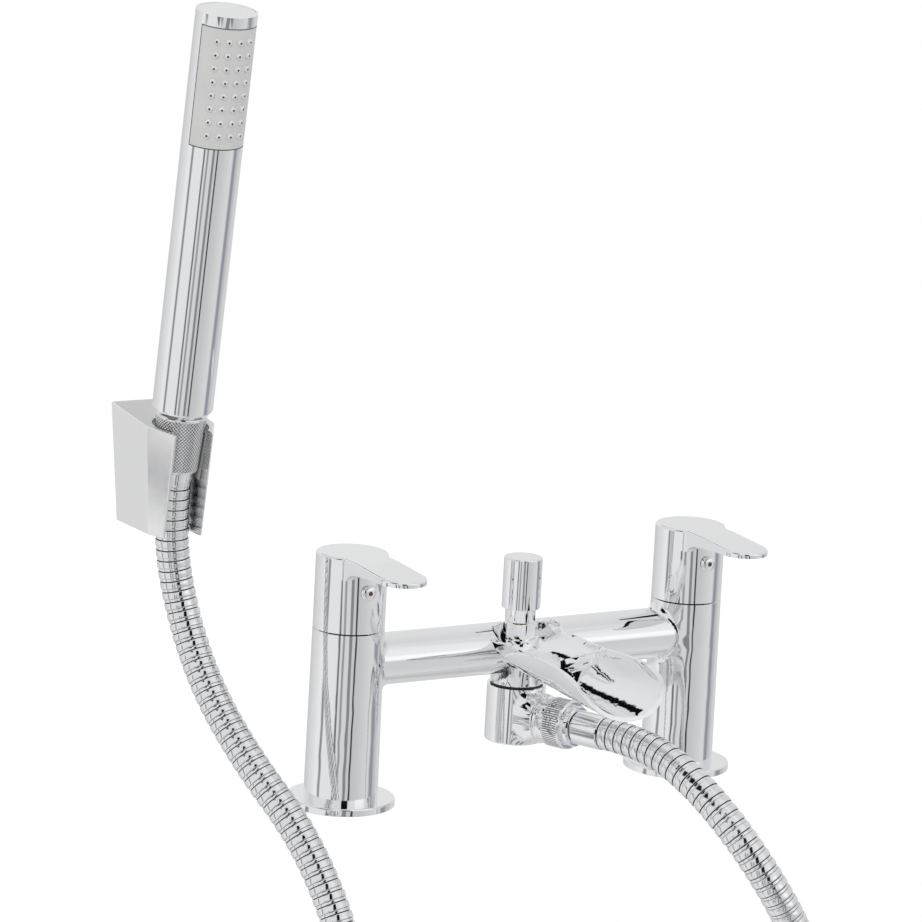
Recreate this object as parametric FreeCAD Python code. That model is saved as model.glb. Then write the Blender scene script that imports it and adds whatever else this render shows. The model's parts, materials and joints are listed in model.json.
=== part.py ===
import FreeCAD, Part
import math
import os

# Two-hole bath shower mixer with a waterfall spout, a pull-up diverter, a hose,
# a pencil handset and its wall bracket.
# X runs along the bridge, -Y is the front where the spout and levers point, +Z is up.
# The origin lies on the deck, midway between the two pillars. All lengths are millimetres.

os.makedirs("parts", exist_ok=True)
Vec = FreeCAD.Vector
UP = Vec(0, 0, 1)

# Pillars and their foot flanges
pillar_centres = 180.0
pillar_foot_r = 16.75
pillar_head_r = 16.25
pillar_head_z = 81.0
flange_r = 24.5
flange_top_z = 3.6
flange_edge_r = 0.8
seal_r = 23.4
seal_thick = 1.2
seal_proud = 0.4

# Bridge between the pillars
bridge_r = 11.75
bridge_z = 65.2
bridge_blend_r = 4.0
waterway_r = 4.5
waterway_z = 60.0

# Threaded tails, the washers and nuts under the deck
tail_r = 13.2
tail_bore_r = 9.5
tail_engaged = 14.0
tail_length = 56.0
tail_chamfer = 1.2
tail_groove_z = -30.5
tail_groove_width = 1.5
tail_groove_depth = 0.8
thread_gap = 0.08
deck_thick = 18.0
washer_r = 22.0
washer_thick = 2.5
nut_flats = 38.0
nut_thick = 8.0

# Quarter-turn cartridges
seat_z = 50.0
cartridge_bore_r = 11.0
cartridge_drum_r = 9.6
cartridge_flange_z = 70.0
cartridge_top_z = 80.4
cartridge_hex_flats = 17.0
cartridge_hex_thick = 5.0
cartridge_neck_r = 6.2
cartridge_neck_top_z = 91.0
disc_r = 7.6
disc_thick = 2.4
port_r = 2.2
port_offset = 4.2
seat_ring_thick = 2.0
spindle_r = 3.9
spindle_foot_r = 7.4
spindle_foot_thick = 3.0
spindle_top_z = 106.0
spline_teeth = 20
spline_depth = 0.35
running_gap = 0.06
easy_gap = 0.3

# Lever handles
ring_gap = 0.6
cap_r = 16.2
cap_wall = 2.0
cap_top_z = 116.0
cap_roof = 4.5
cap_edge_r = 1.1
boss_r = 7.2
boss_bottom_z = 91.6
lever_half_width = 11.0
lever_reach = 55.5
lever_tip_thick = 2.4
lever_root_thick = 5.2
lever_hollow_length = 9.0
lever_hollow_drop = 4.5
lever_droop = 1.9
lever_shoulder_r = 4.0
button_z = 100.6
button_r = 3.75
button_stem_r = 3.0
button_proud = 1.9
dot_r = 1.5
dot_thick = 0.5
screw_r = 2.5
screw_socket_flats = 2.5

# Waterfall spout
ridge_z = 72.2
spout_axis_z = 73.8
spout_wall = 1.9
spout_tip_f = 97.0
opening_start_f = 28.0
opening_full_f = 58.0
opening_half_width = 20.6
dish_floor_z = 64.0
spout_slot_half_width = 8.0
spout_slot_bottom_z = 58.0
spout_slot_height = 3.2
slot_root_f = 36.0

# The spout's sections: distance forward, half width, height of the belly's lowest line
spout_sections = [
    (0, 20.9, 56.8),
    (20, 20.6, 56.2),
    (40, 20.4, 55.4),
    (54, 21.2, 55.0),
    (68, 22.7, 54.6),
    (82, 23.6, 54.2),
    (spout_tip_f + 7, 23.8, 53.6),
]
# The line of the ridges and of the sloping lip, seen from the side: distance forward, height
rim_points = [
    (-2, ridge_z),
    (20, ridge_z),
    (42, ridge_z + 0.2),
    (58, ridge_z + 1.0),
    (70, ridge_z + 0.6),
    (spout_tip_f - 17, ridge_z - 1.2),
    (spout_tip_f - 10, ridge_z - 4.6),
    (spout_tip_f - 5, ridge_z - 10.0),
    (spout_tip_f - 1.5, ridge_z - 16.2),
    (spout_tip_f + 0.6, ridge_z - 22.0),
]
# The dish on the spout's root: distance forward, half width, height of its edge and of its floor
dish_sections = [
    (-6, 9.0, 79.0, 77.6),
    (0, 14.5, 77.0, 69.0),
    (8, 18.6, 74.4, 65.0),
    (16, 19.2, 73.0, dish_floor_z),
    (28, 19.0, 72.8, dish_floor_z + 0.2),
    (44, 18.8, 72.8, dish_floor_z),
]

# Diverter in the middle of the bridge
collar_r = 8.65
collar_top_z = 69.3
collar_flare_r = 12.4
sleeve_r = 7.0
sleeve_split_z = 76.6
split_gap = 0.5
sleeve_bottom_z = 62.0
knob_r = 8.85
knob_bottom_z = 83.3
knob_top_z = 107.0
knob_edge_r = 0.7
rod_r = 3.2
rod_top_z = 98.0
chamber_r = 8.2
valve_r = 7.6
valve_thick = 3.0
valve_pin_r = 1.9
spring_wire_r = 0.35
spring_r = 5.2
spring_turns = 3
spring_steps = 16
spring_end_gap = 0.15

# Outlet hanging under the diverter
neck_r = 12.1
neck_bottom_z = 48.6
o_ring_wire_r = 0.85
o_ring_r = 11.0
o_ring_sink = 0.8
outlet_r = 13.5
outlet_top_z = 47.6
outlet_bottom_z = 21.5
outlet_edge_r = 0.8
outlet_turn_deg = 22.5
nozzle_z = 34.0
spigot_r = 9.1
spigot_top_z = 50.6
outlet_bore_r = 5.4
nozzle_bore_r = 4.6
nozzle_ring_r = 11.5
nozzle_ring_end = 17.5
nozzle_cone_end = 20.6
nozzle_thread_r = 10.4
nozzle_end = 24.0
plug_r = 8.0
plug_thick = 2.2
plug_slot = 1.6

# Hose nut, ferrules and washers
hose_nut_start = 21.0
hose_nut_r = 11.3
hose_nut_grip_end = 32.0
hose_nut_ring_r = 9.4
hose_nut_end = 35.6
ferrule_r = 7.9
ferrule_stem_r = 6.7
ferrule_flange_r = 9.2
ferrule_flange_thick = 2.0
ferrule_end = 50.3
ferrule_bore_r = 4.6
hose_washer_thick = 2.0
hose_r = 7.5
hose_first_run = 26.0
hose_last_run = 24.0
bend_share = 0.45

# Handset, measured along its own leaning axis from its lower end
handset_x = -167.5
handset_y = 21.0
handset_z = 179.7
handset_lean_deg = 8.0
handset_r = 13.4
handset_wall = 1.6
handset_length = 182.0
handset_bevel = 2.6
handset_rim = 1.2
handset_turned_deg = -7.5
plate_top_margin = 4.9
plate_length = 53.5
plate_half_deg = 69.0
plate_thick = 1.2
plate_gap = 0.15
nozzle_rows = 8
nozzle_columns = 4
nozzle_row_pitch = 5.95
nozzle_column_deg = 22.0
nozzle_base_r = 1.45
nozzle_tip_r = 0.85
nozzle_proud = 0.9
inlet_r = 9.5
inlet_engaged = 10.0
inlet_bore_r = 5.5
inlet_collar = 6.0
cone_nut_top_r = 11.4
cone_nut_bottom_r = 9.7
cone_nut_length = 26.0
upper_ferrule_end = 30.0

# Wall bracket
bracket_back_y = 55.0
bracket_top_drop = 1.2
bracket_bottom_z = 124.4
bracket_top_half = 17.2
bracket_bottom_half = 12.4
bracket_side_y = 21.0
bracket_front_y = 7.6
bracket_undercut = 8.0
bracket_slot_half = 8.9
bracket_edge_r = 0.8
liner_wall = 1.2
liner_length = 22.0
liner_start = 8.5
wall_plate_half = 9.0
wall_plate_thick = 4.0
wall_plate_bottom_z = 131.0
wall_plate_top_z = 171.0
wall_screw_pitch = 24.0
wall_screw_r = 2.3
clamp_screw_r = 2.0
clamp_screw_length = 7.0

# The hose's route, chosen by hand: it leaves the bracket, hangs in a loop and comes back to the outlet.
hose_route = [
    (-161.7, 24.2, 87.5),
    (-156.6, 5.5, 55.5),
    (-146.4, -17.1, 27.4),
    (-132.4, -40.0, 1.2),
    (-123.9, -58.8, -29.7),
    (-119.5, -73.3, -63.8),
    (-117.2, -84.0, -99.5),
    (-116.0, -91.5, -136.0),
    (-114.9, -96.3, -173.0),
    (-112.8, -99.2, -210.1),
    (-108.5, -100.5, -247.1),
    (-100.6, -100.8, -283.6),
    (-87.6, -100.5, -318.6),
    (-67.9, -99.9, -350.3),
    (-40.7, -99.2, -375.8),
    (-6.6, -98.7, -391.0),
    (30.7, -98.8, -392.2),
    (65.6, -99.5, -378.8),
    (93.6, -101.0, -354.0),
    (113.1, -103.3, -322.1),
    (124.6, -106.4, -286.5),
    (129.1, -110.0, -249.4),
    (128.1, -114.1, -212.0),
    (122.6, -118.4, -174.9),
    (113.4, -122.6, -138.6),
    (101.2, -126.7, -103.1),
    (85.9, -131.1, -68.9),
    (67.8, -134.9, -35.9),
    (49.9, -125.2, -4.2),
    (36.5, -101.1, 21.3),
]


def placed(shape, base, direction=UP, turned_deg=0.0):
    """Stand a shape made on the Z axis at base, with its axis along direction."""
    spin = FreeCAD.Rotation(UP, turned_deg)
    tilt = FreeCAD.Rotation(UP, direction)
    shape.Placement = FreeCAD.Placement(base, tilt.multiply(spin))
    return shape


def turned(profile, base=Vec(0, 0, 0), direction=UP):
    """A solid of revolution from (radius, height) corners."""
    corners = [Vec(radius, 0, height) for radius, height in profile]
    face = Part.Face(Part.makePolygon(corners + corners[:1]))
    return placed(face.revolve(Vec(0, 0, 0), UP, 360), base, direction)


def tube(outer, inner, low, high, base=Vec(0, 0, 0), direction=UP):
    """A plain ring or tube between two heights on its axis."""
    return turned([(inner, low), (outer, low), (outer, high), (inner, high)], base, direction)


def rod(radius, low, high, base=Vec(0, 0, 0), direction=UP):
    """A plain cylinder between two heights on its axis."""
    return placed(Part.makeCylinder(radius, high - low, Vec(0, 0, low)), base, direction)


def hexagon(flats, low, high, base=Vec(0, 0, 0), direction=UP):
    """A hexagonal prism across its flats."""
    reach = flats / 2 / math.cos(math.radians(30))
    corners = [Vec(reach * math.cos(math.radians(60 * i)), reach * math.sin(math.radians(60 * i)), low)
               for i in range(7)]
    return placed(Part.Face(Part.makePolygon(corners)).extrude(Vec(0, 0, high - low)), base, direction)


def prism(corners, sweep):
    """Extrude a closed outline of points."""
    return Part.Face(Part.makePolygon(corners + corners[:1])).extrude(sweep)


def block(x_low, x_high, y_low, y_high, z_low, z_high):
    """A box between two corners."""
    return Part.makeBox(x_high - x_low, y_high - y_low, z_high - z_low, Vec(x_low, y_low, z_low))


def rounded(shape, radius, pick):
    """Round the edges that pick chooses."""
    return shape.makeFillet(radius, [edge for edge in shape.Edges if pick(edge)])


def flat_ring_at(radius, height):
    """Choose the circular edges of one radius that lie flat at one height."""
    def pick(edge):
        box = edge.BoundBox
        round_enough = abs(box.XLength - 2 * radius) < 0.05
        return box.ZLength < 0.01 and abs(box.ZMax - height) < 0.01 and round_enough
    return pick


def save(name, shape):
    """Write one piece to its own file."""
    shape = shape.removeSplitter()
    shape.exportStep("parts/" + name + ".step")
    print(name, len(shape.Solids), round(shape.Volume), shape.isValid())


# Places worked out from the values above
pillar_x = pillar_centres / 2
outlet_axis = Vec(math.sin(math.radians(outlet_turn_deg)), -math.cos(math.radians(outlet_turn_deg)), 0)
nozzle_base = Vec(0, 0, nozzle_z)
lean = math.radians(handset_lean_deg)
plate_top = handset_length - plate_top_margin
plate_bottom = plate_top - plate_length
handset_axis = Vec(0, -math.sin(lean), math.cos(lean))
handset_base = Vec(handset_x, handset_y, handset_z)
cartridge_seat_top_z = seat_z + seat_ring_thick
fixed_disc_bottom_z = cartridge_seat_top_z
turning_disc_bottom_z = fixed_disc_bottom_z + disc_thick
spindle_foot_z = turning_disc_bottom_z + disc_thick
valve_bottom_z = spigot_top_z
bracket_top_z = handset_z - bracket_top_drop
cap_bottom_z = pillar_head_z + ring_gap


def trough_section(forward, half_width, bottom_z, grow=0.0):
    """One upright section of the spout: a half ellipse below, straight sides above."""
    reach = half_width - grow
    centre = Vec(0, -forward, spout_axis_z)
    right = Vec(reach, -forward, spout_axis_z)
    left = Vec(-reach, -forward, spout_axis_z)
    bottom = Vec(0, -forward, bottom_z + grow)
    right_top = Vec(reach, -forward, cap_top_z)
    left_top = Vec(-reach, -forward, cap_top_z)
    belly = Part.ArcOfEllipse(Part.Ellipse(right, bottom, centre), 0, math.pi).toShape()
    sides = [Part.makeLine(left, left_top), Part.makeLine(left_top, right_top), Part.makeLine(right_top, right)]
    return Part.Wire([belly] + sides)


def trough(grow=0.0):
    """The spout as a full trough, or its inside when grow is the wall."""
    wires = [trough_section(forward, half_width, bottom_z, grow)
             for forward, half_width, bottom_z in spout_sections]
    return Part.makeLoft(wires, True)


def rim_cutter():
    """Everything above the ridges and beyond the sloping lip, as seen from the side."""
    curve = Part.BSplineCurve()
    curve.interpolate([Vec(0, -forward, height) for forward, height in rim_points])
    first = Vec(0, -rim_points[0][0], rim_points[0][1])
    last = Vec(0, -rim_points[-1][0], rim_points[-1][1])
    far_y = last.y - spout_tip_f
    far_top = Vec(0, far_y, cap_top_z)
    far_low = Vec(0, far_y, last.z)
    near_top = Vec(0, first.y, cap_top_z)
    edges = [curve.toShape(), Part.makeLine(last, far_low), Part.makeLine(far_low, far_top),
             Part.makeLine(far_top, near_top), Part.makeLine(near_top, first)]
    face = Part.Face(Part.Wire(edges))
    face.translate(Vec(-pillar_x, 0, 0))
    return face.extrude(Vec(pillar_centres, 0, 0))


def dish_section(forward, half_width, edge_z, floor_z):
    """One section of the hollow on top of the spout's root, open above."""
    left = Vec(-half_width, -forward, edge_z)
    right = Vec(half_width, -forward, edge_z)
    floor = Vec(0, -forward, floor_z)
    left_top = Vec(-half_width, -forward, cap_top_z)
    right_top = Vec(half_width, -forward, cap_top_z)
    bowl = Part.Arc(left, floor, right).toShape()
    sides = [Part.makeLine(right, right_top), Part.makeLine(right_top, left_top), Part.makeLine(left_top, left)]
    return Part.Wire([bowl] + sides)


def dish_cutter():
    """The hollow between the ridges, from the bridge's crest down to the opening."""
    return Part.makeLoft([dish_section(*row) for row in dish_sections], True)


def opening_cutter():
    """The inside of the trough, pointed towards the bridge in plan."""
    centre = Vec(0, -opening_full_f, 0)
    back = Vec(0, -opening_start_f, 0)
    side = Vec(opening_half_width, -opening_full_f, 0)
    other_side = Vec(-opening_half_width, -opening_full_f, 0)
    half = Part.ArcOfEllipse(Part.Ellipse(back, other_side, centre), -math.pi / 2, math.pi / 2).toShape()
    far = Vec(0, -(spout_tip_f + 10), 0)
    edges = [half, Part.makeLine(other_side, other_side + far - centre),
             Part.makeLine(other_side + far - centre, side + far - centre),
             Part.makeLine(side + far - centre, side)]
    plan = Part.Face(Part.Wire(Part.sortEdges(edges)[0])).extrude(Vec(0, 0, cap_top_z))
    return plan.common(trough(spout_wall))


def pillar_solid(side):
    """One pillar's outside."""
    base = Vec(side * pillar_x, 0, flange_top_z)
    return Part.makeCone(pillar_foot_r, pillar_head_r, pillar_head_z - flange_top_z, base)


def pillar_bores(side):
    """The tail's socket, the rising waterway and the cartridge's bore in one pillar."""
    base = Vec(side * pillar_x, 0, 0)
    socket_top = flange_top_z + tail_engaged
    bores = rod(tail_r + thread_gap, 0, socket_top, base)
    bores = bores.fuse(rod(tail_bore_r, 0, seat_z, base))
    return bores.fuse(rod(cartridge_bore_r, seat_z, pillar_head_z + 1, base))


def mixer_body():
    """Pillars, bridge, spout, collar and outlet neck, cast in one piece."""
    pillars = pillar_solid(-1).fuse(pillar_solid(1))
    bridge = Part.makeCylinder(bridge_r, pillar_centres, Vec(-pillar_x, 0, bridge_z), Vec(1, 0, 0))
    body = pillars.fuse(bridge).removeSplitter()

    def where_they_meet(edge):
        box = edge.BoundBox
        near = min(abs(box.XMin), abs(box.XMax))
        inside = box.ZMin > bridge_z - bridge_r - 1 and box.ZMax < bridge_z + bridge_r + 1
        return pillar_x - pillar_foot_r - 1 < near < pillar_x and inside and box.XLength > 1

    body = rounded(body, bridge_blend_r, where_they_meet)
    spout = trough().cut(rim_cutter())
    neck = rod(neck_r, neck_bottom_z, waterway_z)
    body = body.fuse(spout).fuse(neck)
    body = body.cut(dish_cutter())
    collar = turned([(0, dish_floor_z - 4), (collar_flare_r, dish_floor_z - 4), (collar_flare_r, dish_floor_z),
                     (collar_r + 1.2, dish_floor_z + 1.6), (collar_r, dish_floor_z + 3.6),
                     (collar_r, collar_top_z), (0, collar_top_z)])
    body = body.fuse(collar)
    body = body.cut(opening_cutter())
    slot = block(-spout_slot_half_width, spout_slot_half_width, -slot_root_f, 0,
                 spout_slot_bottom_z, spout_slot_bottom_z + spout_slot_height)
    socket = rod(spigot_r + thread_gap, neck_bottom_z - 1, spigot_top_z + 0.4)
    chamber = rod(chamber_r, spigot_top_z, sleeve_bottom_z)
    sleeve_bore = rod(sleeve_r + thread_gap, sleeve_bottom_z - 1, knob_bottom_z)
    waterway = rod(waterway_r, -pillar_x, pillar_x, Vec(0, 0, waterway_z), Vec(1, 0, 0))
    for cutter in [slot, socket, chamber, sleeve_bore, waterway, pillar_bores(-1), pillar_bores(1)]:
        body = body.cut(cutter)
    return body


def base_flange():
    """The round cover ring at a pillar's foot."""
    ring = turned([(tail_r + easy_gap, seal_proud), (flange_r, seal_proud), (flange_r, flange_top_z),
                   (tail_r + easy_gap, flange_top_z)])
    ring = rounded(ring, flange_edge_r, flat_ring_at(flange_r, flange_top_z))
    return ring.cut(rod(seal_r + thread_gap, seal_proud - 1, seal_thick))


def inlet_tail():
    """The threaded inlet below a pillar; a groove parts the nut's thread from the supply's."""
    top = flange_top_z + tail_engaged
    groove_r = tail_r - tail_groove_depth
    groove_low = tail_groove_z - tail_groove_width
    return turned([(tail_bore_r, -tail_length), (tail_r - tail_chamfer, -tail_length),
                   (tail_r, tail_chamfer - tail_length), (tail_r, groove_low), (groove_r, groove_low),
                   (groove_r, tail_groove_z), (tail_r, tail_groove_z), (tail_r, top), (tail_bore_r, top)])


def back_nut():
    """The hexagonal nut under the deck."""
    low = -deck_thick - washer_thick - nut_thick
    return hexagon(nut_flats, low, low + nut_thick).cut(rod(tail_r + thread_gap, low - 1, low + nut_thick + 1))


def cartridge_body():
    """The brass body of a quarter-turn valve, with water windows and a hexagon."""
    foot = cartridge_seat_top_z
    inner = disc_r + easy_gap
    shell = turned([
        (inner, foot), (cartridge_drum_r, foot), (cartridge_drum_r, cartridge_flange_z),
        (cartridge_bore_r - thread_gap, cartridge_flange_z), (cartridge_bore_r - thread_gap, cartridge_top_z),
        (cartridge_neck_r, cartridge_top_z), (cartridge_neck_r, cartridge_neck_top_z),
        (spindle_r + running_gap, cartridge_neck_top_z), (spindle_r + running_gap, cartridge_flange_z),
        (inner, cartridge_flange_z)])
    hexa = hexagon(cartridge_hex_flats, cartridge_top_z, cartridge_top_z + cartridge_hex_thick)
    shell = shell.fuse(hexa.cut(rod(cartridge_neck_r - 0.5, cartridge_top_z - 1, cartridge_neck_top_z)))
    window_low = turning_disc_bottom_z + disc_thick + spindle_foot_thick
    for turn in (0, 90):
        window = block(-cartridge_bore_r, cartridge_bore_r, -3.2, 3.2, window_low, cartridge_flange_z - 3)
        shell = shell.cut(placed(window, Vec(0, 0, 0), UP, turn))
    return shell


def ceramic_disc(low):
    """A polished disc with two ports."""
    disc = rod(disc_r, low, low + disc_thick)
    for side in (-1, 1):
        disc = disc.cut(rod(port_r, low - 1, low + disc_thick + 1, Vec(side * port_offset, 0, 0)))
    return disc


def spindle():
    """The splined spindle that turns the upper disc."""
    shape = turned([(0, spindle_foot_z), (spindle_foot_r, spindle_foot_z),
                    (spindle_foot_r, spindle_foot_z + spindle_foot_thick),
                    (spindle_r, spindle_foot_z + spindle_foot_thick), (spindle_r, spindle_top_z), (0, spindle_top_z)])
    for i in range(spline_teeth):
        angle = 2 * math.pi * i / spline_teeth
        groove = block(spindle_r - spline_depth, spindle_r + 1, -0.3, 0.3, cartridge_neck_top_z + 1, spindle_top_z + 1)
        shape = shape.cut(placed(groove, Vec(0, 0, 0), UP, math.degrees(angle)))
    return shape


def lever_plan():
    """The paddle seen from above: parallel sides and a rounded tip."""
    tip_centre = Vec(0, lever_half_width - lever_reach, 0)
    tip = Vec(0, -lever_reach, 0)
    left = Vec(-lever_half_width, tip_centre.y, 0)
    right = Vec(lever_half_width, tip_centre.y, 0)
    arc = Part.Arc(left, tip, right).toShape()
    back_left = Vec(-lever_half_width, 0, 0)
    back_right = Vec(lever_half_width, 0, 0)
    edges = [arc, Part.makeLine(left, back_left), Part.makeLine(back_left, back_right), Part.makeLine(back_right, right)]
    return Part.Face(Part.Wire(Part.sortEdges(edges)[0]))


def lever_side():
    """The paddle seen from the side: a slightly drooping top and a curved underside."""
    aside = -cap_r
    tip_y = -lever_reach - 1
    top_back = Vec(aside, 0, cap_top_z)
    top_root = Vec(aside, -cap_r, cap_top_z)
    top_middle = Vec(aside, -(cap_r + lever_reach) / 2, cap_top_z - lever_droop * 0.45)
    top_tip = Vec(aside, tip_y, cap_top_z - lever_droop)
    low_tip = Vec(aside, tip_y, cap_top_z - lever_droop - lever_tip_thick)
    low_middle = Vec(aside, -cap_r - lever_hollow_length, cap_top_z - lever_root_thick)
    low_root = Vec(aside, cap_wall - cap_r, cap_top_z - lever_root_thick - lever_hollow_drop)
    low_back = Vec(aside, 0, low_root.z)
    top = Part.BSplineCurve()
    top.interpolate([top_root, top_middle, top_tip], InitialTangent=Vec(0, -1, 0), FinalTangent=Vec(0, -1, -0.05))
    low = Part.BSplineCurve()
    low.interpolate([low_tip, low_middle, low_root], InitialTangent=Vec(0, 1, 0.02), FinalTangent=Vec(0, 0.5, -1))
    edges = [Part.makeLine(top_back, top_root), top.toShape(), Part.makeLine(top_tip, low_tip), low.toShape(),
             Part.makeLine(low_root, low_back), Part.makeLine(low_back, top_back)]
    return Part.Face(Part.Wire(edges)).extrude(Vec(2 * cap_r, 0, 0))


def lever_handle():
    """The handle: a hollow cap with its paddle and the splined boss inside."""
    cap = rod(cap_r, cap_bottom_z, cap_top_z)
    plan = lever_plan().extrude(Vec(0, 0, cap_top_z))
    paddle = plan.common(lever_side())
    paddle = paddle.cut(rod(cap_r - cap_wall, 0, cap_top_z - cap_roof))
    handle = cap.fuse(paddle).removeSplitter()

    def shoulder(edge):
        box = edge.BoundBox
        upright = box.ZLength > 2 and box.XLength < 0.3 and box.YLength < 0.3
        return upright and -cap_r < box.YMin < -cap_r / 2 and box.ZMax > cap_top_z - 3

    handle = rounded(handle, lever_shoulder_r, shoulder)

    def top_outline(edge):
        box = edge.BoundBox
        middle = edge.valueAt((edge.FirstParameter + edge.LastParameter) / 2)
        high = middle.z > cap_top_z - lever_droop - 0.1
        return high and box.ZMin > cap_top_z - lever_droop - 0.2

    handle = rounded(handle, cap_edge_r, top_outline)
    handle = handle.cut(rod(cap_r - cap_wall, cap_bottom_z - 1, cap_top_z - cap_roof))
    handle = handle.fuse(rod(boss_r, boss_bottom_z, cap_top_z - cap_roof + 0.5))
    handle = handle.cut(rod(spindle_r + thread_gap, boss_bottom_z - 1, spindle_top_z + easy_gap))
    front = Vec(0, -1, 0)
    at_button = Vec(0, 0, button_z)
    handle = handle.cut(rod(button_stem_r + thread_gap, boss_r + 1, cap_r + 2, at_button, front))
    return handle.cut(rod(screw_r + thread_gap, spindle_r - 1, boss_r + 1, at_button, front))


def index_button():
    """The domed hot or cold button, pressed into the cap's front."""
    start = cap_r - cap_wall - 0.6
    face = cap_r + 0.15
    tip = cap_r + button_proud
    crown = turned([(0, start), (button_stem_r, start), (button_stem_r, face - 0.1), (button_r, face - 0.1),
                    (button_r, tip - 1.1), (button_r - 0.5, tip - 0.4), (dot_r + 0.6, tip), (0, tip)],
                   Vec(0, 0, button_z), Vec(0, -1, 0))
    seat = rod(dot_r + thread_gap / 2, tip - dot_thick, tip + 1, Vec(0, 0, button_z), Vec(0, -1, 0))
    return crown.cut(seat).cut(rod(cap_r + 0.02, 0, cap_top_z))


def index_dot():
    """The coloured disc in the button."""
    tip = cap_r + button_proud
    return rod(dot_r, tip - dot_thick, tip, Vec(0, 0, button_z), Vec(0, -1, 0))


def grub_screw():
    """The socket screw that holds the handle on the spindle."""
    start = spindle_r + 0.1
    end = boss_r + 1.2
    front = Vec(0, -1, 0)
    at_button = Vec(0, 0, button_z)
    return rod(screw_r, start, end, at_button, front).cut(hexagon(screw_socket_flats, end - 2, end + 1, at_button, front))


def diverter_sleeve():
    """The fixed lower part of the diverter's stem, screwed into the collar."""
    return turned([(rod_r + running_gap, sleeve_bottom_z), (sleeve_r, sleeve_bottom_z), (sleeve_r, sleeve_split_z - 0.3),
                   (sleeve_r - 0.3, sleeve_split_z), (rod_r + running_gap, sleeve_split_z)])


def diverter_knob():
    """The pull-up knob with its narrower skirt."""
    low = sleeve_split_z + split_gap
    inner = rod_r + thread_gap / 2
    knob = turned([(inner, low), (sleeve_r - 0.3, low), (sleeve_r, low + 0.3), (sleeve_r, knob_bottom_z),
                   (knob_r - 0.4, knob_bottom_z), (knob_r, knob_bottom_z + 0.4), (knob_r, knob_top_z),
                   (0, knob_top_z), (0, rod_top_z), (inner, rod_top_z)])
    return rounded(knob, knob_edge_r, flat_ring_at(knob_r, knob_top_z))


def diverter_rod():
    """The rod from the knob down to the valve."""
    return turned([(0, valve_bottom_z + 0.4), (valve_pin_r, valve_bottom_z + 0.4), (valve_pin_r, valve_bottom_z + valve_thick),
                   (rod_r, valve_bottom_z + valve_thick), (rod_r, rod_top_z), (0, rod_top_z)])


def diverter_valve():
    """The rubber-faced disc on the rod's end."""
    return turned([(valve_pin_r + thread_gap / 2, valve_bottom_z), (valve_r - 0.4, valve_bottom_z), (valve_r, valve_bottom_z + 0.4),
                   (valve_r, valve_bottom_z + valve_thick), (valve_pin_r + thread_gap / 2, valve_bottom_z + valve_thick)])


def diverter_spring():
    """The light spring that presses the valve down, a helix of short straight lengths."""
    low = valve_bottom_z + valve_thick + spring_wire_r + spring_end_gap
    high = sleeve_bottom_z - spring_wire_r - spring_end_gap
    steps = spring_turns * spring_steps
    corners = []
    for i in range(steps + 1):
        angle = 2 * math.pi * i / spring_steps
        corners.append(Vec(spring_r * math.cos(angle), spring_r * math.sin(angle), low + (high - low) * i / steps))
    outline = hexagon(2 * spring_wire_r, 0, 1, corners[0], corners[1] - corners[0]).Faces
    foot = min(outline, key=lambda face: face.CenterOfMass.distanceToPoint(corners[0]))
    return Part.makePolygon(corners).makePipeShell([foot.OuterWire], True, False, 1)


def outlet_body():
    """The shower outlet under the bridge with its sideways nozzle."""
    body = rod(outlet_r, outlet_bottom_z, outlet_top_z)
    body = rounded(body, outlet_edge_r, flat_ring_at(outlet_r, outlet_bottom_z))
    body = body.fuse(rod(spigot_r, outlet_top_z - 1, spigot_top_z))
    nozzle = turned([(0, 4), (nozzle_ring_r, 4), (nozzle_ring_r, nozzle_ring_end - 1.2),
                     (nozzle_ring_r - 1.2, nozzle_ring_end), (nozzle_thread_r, nozzle_cone_end),
                     (nozzle_thread_r, nozzle_end), (0, nozzle_end)], nozzle_base, outlet_axis)
    body = body.fuse(nozzle)
    body = body.cut(rod(outlet_bore_r, nozzle_z - outlet_bore_r, spigot_top_z + 1))
    body = body.cut(rod(nozzle_bore_r, 0, nozzle_end + 1, nozzle_base, outlet_axis))
    half = o_ring_wire_r + thread_gap
    body = body.cut(tube(o_ring_r + half, o_ring_r - half, outlet_top_z - o_ring_sink, outlet_top_z + 1))
    return body.cut(rod(plug_r + thread_gap, outlet_bottom_z - 1, outlet_bottom_z + plug_thick))


def outlet_o_ring():
    """The rubber ring seen in the narrow gap between the body and its outlet."""
    middle_z = outlet_top_z - o_ring_sink + o_ring_wire_r
    section = [(o_ring_r + o_ring_wire_r * math.cos(math.pi * i / 4), middle_z + o_ring_wire_r * math.sin(math.pi * i / 4))
               for i in range(8)]
    return turned(section)


def outlet_plug():
    """The slotted plug in the outlet's underside."""
    plug = rod(plug_r, outlet_bottom_z + 0.3, outlet_bottom_z + plug_thick)
    return plug.cut(block(-plug_r * 0.7, plug_r * 0.7, -plug_slot / 2, plug_slot / 2, outlet_bottom_z, outlet_bottom_z + 1.3))


def hose_nut():
    """The grooved union nut on the outlet."""
    thread_end = nozzle_end + hose_washer_thick + ferrule_flange_thick
    return turned([(nozzle_thread_r + thread_gap, hose_nut_start), (hose_nut_r - 0.6, hose_nut_start),
                   (hose_nut_r, hose_nut_start + 0.6), (hose_nut_r, hose_nut_grip_end - 0.8),
                   (hose_nut_r - 0.8, hose_nut_grip_end), (hose_nut_ring_r - 0.7, hose_nut_grip_end),
                   (hose_nut_ring_r - 0.7, hose_nut_grip_end + 0.9), (hose_nut_ring_r, hose_nut_grip_end + 1.3),
                   (hose_nut_ring_r, hose_nut_end - 0.6), (hose_nut_ring_r - 0.6, hose_nut_end),
                   (ferrule_stem_r + thread_gap, hose_nut_end), (ferrule_stem_r + thread_gap, thread_end),
                   (nozzle_thread_r + thread_gap, thread_end)], nozzle_base, outlet_axis)


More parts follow.
